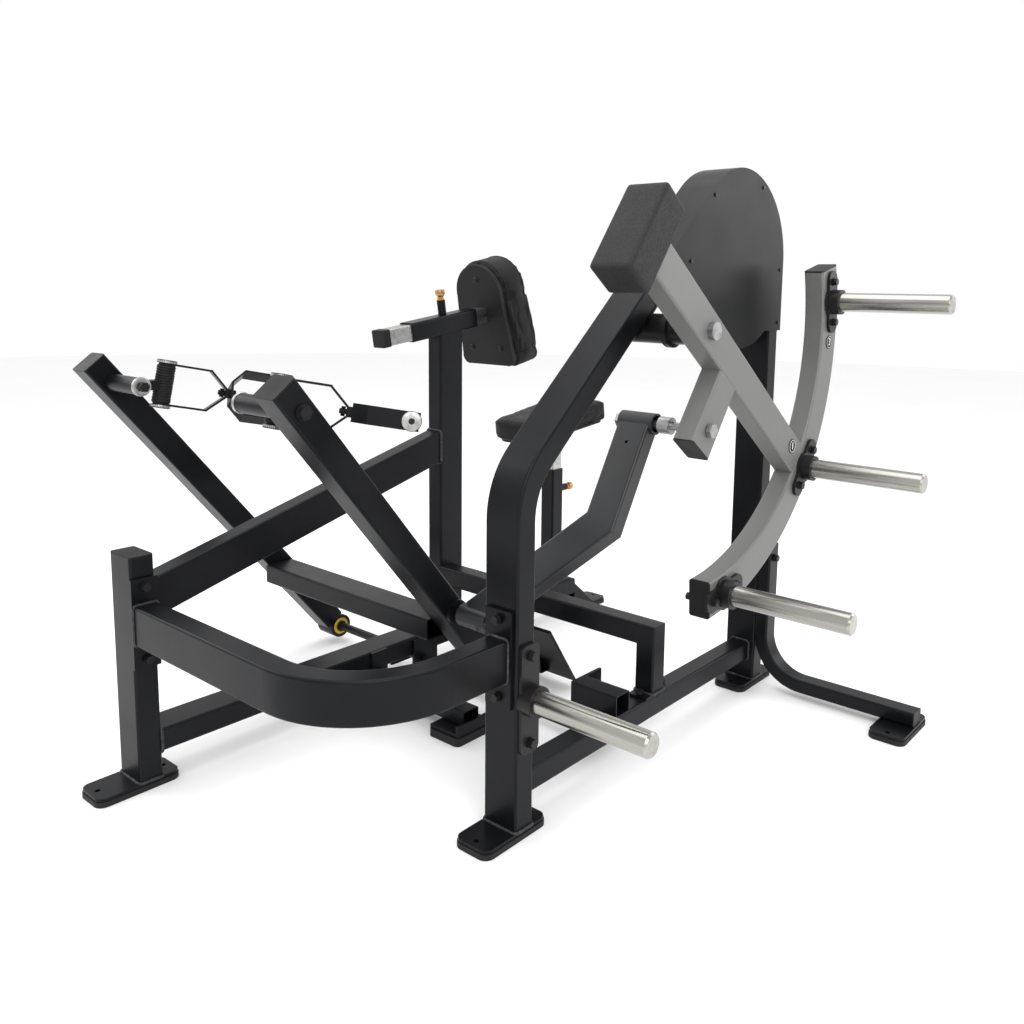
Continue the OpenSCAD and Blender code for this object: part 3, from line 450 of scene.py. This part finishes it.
def padSolid(node, axes):
    # the CAD pad's own points, copied and drawn in by the inset, as the start of a cushion
    source = nodes[node].data
    co = np.zeros(len(source.vertices) * 3); source.vertices.foreach_get("co", co)
    co = co.reshape(-1, 3)
    obj = nodes[node].copy(); obj.data = source.copy()
    obj.parent = None; obj.matrix_world = Matrix.Identity(4)
    obj.hide_render = obj.hide_viewport = False
    for key in list(obj.keys()):
        del obj[key]
    bpy.context.collection.objects.link(obj)
    centre = (co.min(0) + co.max(0)) / 2
    local = (co - centre) @ axes.T
    reach = np.abs(local).max(0)
    obj.data.vertices.foreach_set("co", (centre + (local * (1 - cushion["inset"] / reach)) @ axes).ravel())
    return obj


def useModifier(obj, kind, **settings):
    bpy.context.view_layer.objects.active = obj
    mod = obj.modifiers.new(kind.lower(), kind)
    for key, value in settings.items():
        setattr(mod, key, value)
    return mod


def applyModifier(obj, mod):
    bpy.ops.object.select_all(action="DESELECT")
    obj.select_set(True)
    bpy.context.view_layer.objects.active = obj
    bpy.ops.object.modifier_apply(modifier=mod.name)


def inflate(obj):
    rest = np.zeros(len(obj.data.vertices) * 3); obj.data.vertices.foreach_get("co", rest)
    mod = useModifier(obj, "CLOTH")
    mod.settings.use_pressure = True
    mod.settings.uniform_pressure_force = cushion["pressure"]
    mod.settings.quality = 5
    mod.settings.mass = 0.4
    mod.settings.tension_stiffness = mod.settings.compression_stiffness = 25
    mod.settings.bending_stiffness = 8.0
    mod.settings.effector_weights.gravity = 0
    mod.collision_settings.use_collision = False
    scene = bpy.context.scene
    for step in range(1, cushion["frames"] + 1):
        scene.frame_set(step)
    applyModifier(obj, mod)
    scene.frame_set(1)
    moved = np.zeros(len(rest)); obj.data.vertices.foreach_get("co", moved)
    push = (moved - rest).reshape(-1, 3)
    length = np.linalg.norm(push, axis=1, keepdims=True)
    push *= np.minimum(1, cushion["cap"] / np.maximum(length, 1e-9))
    obj.data.vertices.foreach_set("co", (rest.reshape(-1, 3) + push).ravel())


def axesOf(tilt):
    # pad axes from its lean about Y: thickness, width, height as rows
    t = math.radians(tilt)
    return np.array([[math.cos(t), 0, math.sin(t)], [0, 1, 0], [-math.sin(t), 0, math.cos(t)]])


def makeCushion(name, node, axes):
    pad = padSolid(node, axes)
    pad.name = pad.data.name = name
    applyModifier(pad, useModifier(pad, "WELD", merge_threshold=1e-5))
    applyModifier(pad, useModifier(pad, "REMESH", mode="VOXEL", voxel_size=cushion["voxel"]))
    inflate(pad)
    applyModifier(pad, useModifier(pad, "SMOOTH", factor=0.6, iterations=4))
    useModifier(pad, "SUBSURF", levels=1, render_levels=1)
    applyModifier(pad, pad.modifiers[-1])
    pad.data.materials.clear(); pad.data.materials.append(leather)
    pad.data.polygons.foreach_set("use_smooth", [True] * len(pad.data.polygons))
    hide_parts(node)
    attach(pad, bodyOf(node))
    return pad


def seamLoop(name, pad, node, axes, thin, share, inset=0.0):
    # welt round the pad: the solid's outline at a share of its thickness, laid on the cushion
    co = np.array([v.co for v in nodes[node].data.vertices]) @ axes.T
    wide = [k for k in range(3) if k != thin]
    low, high = co.min(0), co.max(0)
    flat = np.unique(np.round(co[:, wide], 5), axis=0)
    mid = flat.mean(0)
    angle = np.arctan2(flat[:, 1] - mid[1], flat[:, 0] - mid[0])
    flat = flat[np.argsort(angle)]
    reach = np.linalg.norm(flat - mid, axis=1)
    keep = reach > 0.55 * reach.max()
    flat = mid + (flat[keep] - mid) * (1 - inset)
    loop = np.zeros((len(flat), 3)); loop[:, wide] = flat
    loop[:, thin] = low[thin] + share * (high[thin] - low[thin])
    loop = resample(loop @ axes, 0.004, True)
    tree = BVHTree.FromObject(pad, bpy.context.evaluated_depsgraph_get())
    laid = np.array([list(tree.find_nearest(Vector(p))[0]) for p in loop.tolist()])
    soft = sum(np.roll(laid, k, 0) for k in range(-3, 4)) / 7
    welt = tubeAlong(name, soft, 0.0019, leather, 8, True)
    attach(welt, bodyOf(node))
    return welt


chestAxes = axesOf(13.0)
seatAxes = axesOf(8.3)
chestCushion = makeCushion("chestCushion", "chest_pad", chestAxes)
seatCushion = makeCushion("seatCushion", "seat_pad", seatAxes)
for tag, pad, node, axes, thin in (("chest", chestCushion, "chest_pad", chestAxes, 0),
                                   ("seat", seatCushion, "seat_pad", seatAxes, 2)):
    seamLoop(tag + "FrontWelt", pad, node, axes, thin, 0.86, 0.02)
    seamLoop(tag + "BackWelt", pad, node, axes, thin, 0.10, 0.02)
print("cushions and welts")

# the loose sleeve round the chest pad's middle: a rounded loop with soft creases, open at the back
padSleeve = {"from": -0.098, "to": 0.062, "clear": 0.0035, "crease": 0.0012}


def wrapPad():
    co = np.array([v.co for v in nodes["chest_pad"].data.vertices]) @ chestAxes.T
    low, high = co.min(0), co.max(0)
    mid = (low + high) / 2
    halfDeep = (high[0] - low[0]) / 2 + padSleeve["clear"]
    tall = np.linspace(padSleeve["from"], padSleeve["to"], 40)[:, None]
    turn = np.linspace(-0.78 * math.pi, 0.78 * math.pi, 160)[None, :]
    halfWide = 0.1145 - 0.0105 * (tall - padSleeve["from"]) / 0.16
    power = 0.30                                        # a squared-off ellipse
    deep = halfDeep * np.sign(np.cos(turn)) * np.abs(np.cos(turn)) ** power
    wide = halfWide * np.sign(np.sin(turn)) * np.abs(np.sin(turn)) ** power
    wave = padSleeve["crease"] * (np.sin(9 * turn + 40 * tall) + 0.6 * np.sin(21 * turn - 70 * tall))
    edge = np.abs(2 * (tall - padSleeve["from"]) / (padSleeve["to"] - padSleeve["from"]) - 1) ** 6
    swell = 1 + (wave - 0.003 * edge) / 0.09
    grid = np.stack([mid[0] + deep * swell, mid[1] + wide * swell, mid[2] - 0.02 + tall + 0 * turn], -1)
    obj = meshObject("chestPadSleeve", grid.reshape(-1, 3) @ chestAxes, gridFaces(40, 160), sleeveCloth)
    useModifier(obj, "SOLIDIFY", thickness=0.002, offset=-1.0)
    applyModifier(obj, obj.modifiers[-1])
    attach(obj, "chest_carriage")


wrapPad()


def plateScrews():
    # three button screws on the backing board's front face, in the pad's own axes
    co = np.array([v.co for v in nodes["chest_plate"].data.vertices]) @ chestAxes.T
    front, mid = co[:, 0].min(), (co.min(0) + co.max(0)) / 2
    top = co[:, 2].max()
    for k, (side, drop) in enumerate(((0.0, 0.045), (-0.06, 0.255), (0.06, 0.255))):
        foot = np.array([front + 0.0005, mid[1] + side, top - drop]) @ chestAxes
        dome = [(0.0088, 0.0), (0.0088, 0.0016), (0.0074, 0.0034), (0.0042, 0.0044),
                (0.0030, 0.0030), (0.0012, 0.0028)]
        screw = spun(f"plateScrew.{k}", dome, foot, chestAxes.T @ np.array([-1.0, 0, 0]), boltBlack, 48)
        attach(screw, "chest_carriage")


plateScrews()


# ---- weld beads ----

beads = []


def bead(points, closed=False, radius=0.0034, body="frame"):
    path = resample(points, 0.0014, closed)
    beads.append((tubeAlong("bead", path, radius, weldBlack, 8, closed, 0.28, 0.0042), body))


def roundLoop(centre, u, v, a, b, corner=0.008):
    # four quarter arcs joined: the outline of a tube section
    turn = np.linspace(0, math.pi / 2, 6)
    pts = []
    for k, (su, sv) in enumerate(((1, 1), (-1, 1), (-1, -1), (1, -1))):
        ang = turn + k * math.pi / 2
        pts.append(np.stack([su * (a - corner) + corner * np.cos(ang),
                             sv * (b - corner) + corner * np.sin(ang)], 1))
    flat = np.concatenate(pts)
    return np.asarray(centre) + flat[:, 0:1] * np.asarray(u, float) + flat[:, 1:2] * np.asarray(v, float)


def centre(node):
    low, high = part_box(node)
    return (low + high) / 2


tube = {"wide": 0.090, "thin": 0.054, "footTop": 0.020, "slope": 15.4}
seam = {"out": 0.001, "plate": 0.008, "wide": 0.0042, "steep": 0.0038}
half, thin = tube["wide"] / 2, tube["thin"] / 2
eastWest, northSouth, upDown = (1, 0, 0), (0, 1, 0), (0, 0, 1)
rail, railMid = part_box("near_rail"), centre("near_rail")
nearY, farRailY = railMid[1], centre("chest_post")[1]
uprightX, columnX = rail[0][0] - thin, rail[1][0] + thin
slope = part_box("slope_tube")
frontX = slope[0][0] - thin


def flatLoop(x, y, z, a, b):
    bead(roundLoop((x, y, z), eastWest, northSouth, a + seam["out"], b + seam["out"]), True)


def endLoop(x, y, z, a, b, out=seam["out"], radius=0.0034):
    bead(roundLoop((x, y, z), northSouth, upDown, a + out, b + out), True, radius)


for x, y in ((uprightX, nearY), (columnX, nearY), (frontX, farRailY)):      # feet
    flatLoop(x, y, tube["footTop"], thin, half)
for x in (rail[0][0], rail[1][0]):                      # near rail to upright and column
    endLoop(x, nearY, railMid[2], thin, thin)
endLoop(frontX + thin, farRailY, railMid[2], half, thin)
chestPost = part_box("chest_post")
chestMid = centre("chest_post")
chestHalf = (chestPost[1] - chestPost[0]) / 2
bead(roundLoop((chestMid[0], chestMid[1], chestPost[0][2] + 0.0005), eastWest, northSouth,
               chestHalf[0] + seam["out"], chestHalf[1] + seam["out"]), True, seam["wide"])
seatMid = centre("seat_slider")
flatLoop(seatMid[0], seatMid[1], chestPost[0][2] + 0.0085, thin, thin)
steepHalf = half / math.cos(math.radians(tube["slope"]))
for x, z in ((slope[0][0], slope[0][2] + 0.047), (slope[1][0], slope[1][2] - 0.047)):
    bead(roundLoop((x, farRailY, z), northSouth, upDown, thin + seam["out"], steepHalf + seam["out"]),
         True, seam["steep"])
brace = centre("seat_brace")
flatLoop(brace[0] - 0.007, nearY, rail[1][2] + 0.0065, thin, thin)
guardZ = centre("guard_tube")[2] - 0.002
endLoop(uprightX - thin - seam["plate"], nearY, guardZ, thin, half, 0.0008)
bead(roundLoop((frontX, farRailY - half - seam["plate"], guardZ), eastWest, upDown,
               thin + 0.0008, half + 0.0008), True)
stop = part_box("stop_block")
bead([(stop[0][0], nearY + thin + 0.0005, rail[1][2] - 0.004),
      (stop[0][0], nearY - 0.02, rail[1][2] + seam["out"]),
      (stop[0][0], nearY + thin + 0.012, rail[1][2] + seam["out"])])


def beadPieces():
    bodies = {}
    for obj, body in beads:
        bodies.setdefault(body, []).append(obj)
    for body, group in bodies.items():
        obj = joined("weldBeads." + body, group)
        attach(obj, body)


beadPieces()
print("weld beads:", len(beads))


# ---- counterweight: a cast block with rounded corners and a lumpy skin ----

block = {"corner": 0.009, "steps": 22}


def roundBlock(name, node, tiltDown, mat):
    # a box surface whose points are pulled onto a rounded box: clamp to the core, then out by the corner radius
    t = math.radians(tiltDown)
    axes = np.array([[math.cos(t), 0, -math.sin(t)], [0, 1, 0], [math.sin(t), 0, math.cos(t)]])
    co = np.array([v.co for v in nodes[node].data.vertices]) @ axes.T
    low, high = co.min(0), co.max(0)
    mid, size = (low + high) / 2, (high - low) / 2
    n = block["steps"]
    s = np.sin(np.linspace(-math.pi / 2, math.pi / 2, n))     # closer rows near the edges
    a, b = np.meshgrid(s, s, indexing="ij")
    verts, faces = [], []
    for k in range(3):
        for sign in (-1, 1):
            face = np.zeros((n, n, 3)); face[..., k] = sign
            face[..., (k + 1) % 3], face[..., (k + 2) % 3] = a, b
            quads = np.array(gridFaces(n, n)) + len(verts) * n * n
            faces += (quads if sign > 0 else quads[:, ::-1]).tolist()
            verts.append(face.reshape(-1, 3))
    p = np.concatenate(verts) * size
    core = np.clip(p, -(size - block["corner"]), size - block["corner"])
    out = p - core
    p = core + block["corner"] * out / np.maximum(np.linalg.norm(out, axis=1, keepdims=True), 1e-9)
    obj = meshObject(name, (p + mid) @ axes, faces, mat)
    applyModifier(obj, useModifier(obj, "WELD", merge_threshold=1e-5))
    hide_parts(node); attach(obj, bodyOf(node))
    return obj


roundBlock("counterweightBlock", "counterweight", 36.5, blockSkin)


# ---- handles: ribbed hubs, silver rings and grips ----

joints = {j["name"]: j for j in frame["joints"]}


def at(joint):
    return np.array(joints[joint]["pos_m"]), np.array(joints[joint]["axis"], float)


hub = {"radius": 0.0225, "half": 0.0455, "cap": 0.0245}
gripShape = {"radius": 0.0195, "half": 0.058, "ring": 0.0225}
for side, sign in (("near", 1), ("far", -1)):
    place, axis = at(f"handle_yoke_{side}_swivel")
    z = np.linspace(-hub["half"], hub["half"], 60)
    wave = hub["radius"] - 0.0012 * (np.cos(z * 2 * math.pi / 0.0065) > 0.55)
    obj = spun(f"hubSleeve.{side}", np.stack([wave, z], 1), place, axis, gripRubber, 72, 18, 0.035)
    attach(obj, f"handle_stub_{side}")
    for end in (-1, 1):                                  # knurled bright caps on the hub
        rim = [(0.004, 0.0605), (0.020, 0.0605), (0.0238, 0.0585), (0.0243, 0.0545),
               (0.0238, 0.0525), (0.004, 0.0525)]
        rim = [(r, h * end) for r, h in rim]
        rim = rim[::-1] if end < 0 else rim
        name = f"hubCap.{side}.{'top' if end > 0 else 'low'}"
        cap = spun(name, rim[::-1], place, axis, ringChrome, 96, 32, 0.03)
        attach(cap, f"handle_yoke_{side}")
    place, axis = at(f"grip_{side}_spin")
    z = np.linspace(-gripShape["half"], gripShape["half"], 140)
    wave = gripShape["radius"] + 0.0007 * np.cos(z * 2 * math.pi / 0.0045)
    obj = spun(f"gripSleeve.{side}", np.stack([wave, z], 1), place, axis, gripRubber, 64)
    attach(obj, f"grip_{side}")
    for end in (-1, 1):
        tag = "a" if end > 0 else "b"
        rim = [(0.0075, 0.0752), (0.018, 0.0752), (0.0221, 0.0742), (0.0226, 0.0705),
               (0.0226, 0.068), (0.0075, 0.0662)]
        rim = [(r, h * end) for r, h in rim]
        rim = rim if end < 0 else rim[::-1]
        ring = spun(f"gripRing.{side}.{tag}", rim, place, axis, ringChrome, 72)
        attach(ring, f"grip_{side}")
        nut = [(0.0062, 0.0752), (0.0068, 0.0768), (0.0040, 0.0770)]
        nut = [(r, h * end) for r, h in nut]
        nut = nut if end > 0 else nut[::-1]
        boss = spun(f"gripScrew.{side}.{tag}", nut, place, axis, boltBlack, 36)
        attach(boss, f"grip_{side}")
    place, axis = at(f"handle_stub_{side}_tilt")
    inward = np.array([0, float(sign), 0])
    rim = [(0.009, 0.1492), (0.0195, 0.1492), (0.0232, 0.1478), (0.0238, 0.145), (0.0238, 0.1425),
           (0.0222, 0.1405), (0.009, 0.1405)]
    ring = spun(f"stubRing.{side}", rim[::-1], place, inward, ringChrome, 72)
    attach(ring, f"handle_stub_{side}")
print("handles dressed")


# ---- number discs ----

disc = {"ring": 0.0155, "digit": 0.027, "thick": 0.0003}


def printNumber(word, index):
    # ring and digit laid on the disc's face, which looks toward -Y
    co = np.array([v.co for v in nodes["number_discs"].data.vertices])
    left = co[:, 0] < (co[:, 0].min() + co[:, 0].max()) / 2
    pick = co[left if index == 0 else ~left]
    mid, face = (pick.min(0) + pick.max(0)) / 2, pick[:, 1].min()
    turn = np.linspace(0, 2 * math.pi, 72, endpoint=False)
    circle = np.stack([mid[0] + disc["ring"] * np.cos(turn), 0 * turn + face - 0.0001,
                       mid[2] + disc["ring"] * np.sin(turn)], 1)
    ring = tubeAlong(f"discRing.{word}", circle, 0.0006, markWhite, 6, True)
    data = bpy.data.curves.new("digit", "FONT")
    data.body, data.size, data.extrude = word, disc["digit"], disc["thick"]
    data.align_x, data.align_y = "CENTER", "CENTER"
    text = bpy.data.objects.new("digit", data)
    bpy.context.collection.objects.link(text)
    bpy.context.view_layer.update()
    mesh = bpy.data.meshes.new_from_object(text.evaluated_get(bpy.context.evaluated_depsgraph_get()))
    bpy.data.objects.remove(text)
    mesh.transform(Matrix.Translation((mid[0], face - 0.0004, mid[2])) @ Matrix.Rotation(math.pi / 2, 4, "X"))
    mesh.materials.clear(); mesh.materials.append(markWhite)
    digit = bpy.data.objects.new(f"discDigit.{word}", mesh)
    bpy.context.collection.objects.link(digit)
    for obj in (ring, digit):
        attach(obj, "weight_arm")


printNumber("1", 0)
printNumber("3", 1)


# ---- pop-pin knobs ----

sleeveLean = math.radians(9)
pullAxes = {"chest_pin": np.array([-math.sin(sleeveLean), 0, math.cos(sleeveLean)]),
            "seat_pin": np.array([1.0, 0, 0])}
for pin, axis in pullAxes.items():
    co = np.array([v.co for v in nodes[pin].data.vertices])
    top = (co @ axis).max()
    ring = co[(co @ axis) > top - 0.001].mean(0)
    foot = ring - axis * ((ring @ axis) - top)
    knob = [(0.0055, -0.030), (0.0095, -0.029), (0.0085, -0.020), (0.0122, -0.0155),
            (0.0138, -0.010), (0.0138, -0.0035), (0.0125, 0.0003), (0.004, 0.0008)]
    obj = spun("knob." + pin, knob[::-1], foot, axis, brassGold, 84, 28, 0.03)
    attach(obj, pin)


# ---- ribs on the rubber step ----

tread = {"side": 0.014, "end": 0.012, "ribs": 9, "radius": 0.0022}
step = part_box("step_tread")
ribs = []
for x in np.linspace(step[0][0] + tread["side"], step[1][0] - tread["side"], tread["ribs"]):
    line = [(x, step[0][1] + tread["end"], step[1][2]), (x, step[1][1] - tread["end"], step[1][2])]
    ribs.append(tubeAlong("rib", resample(line, 0.004), tread["radius"], rubber, 10))
treadRibs = joined("treadRibs", ribs)
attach(treadRibs, "frame")
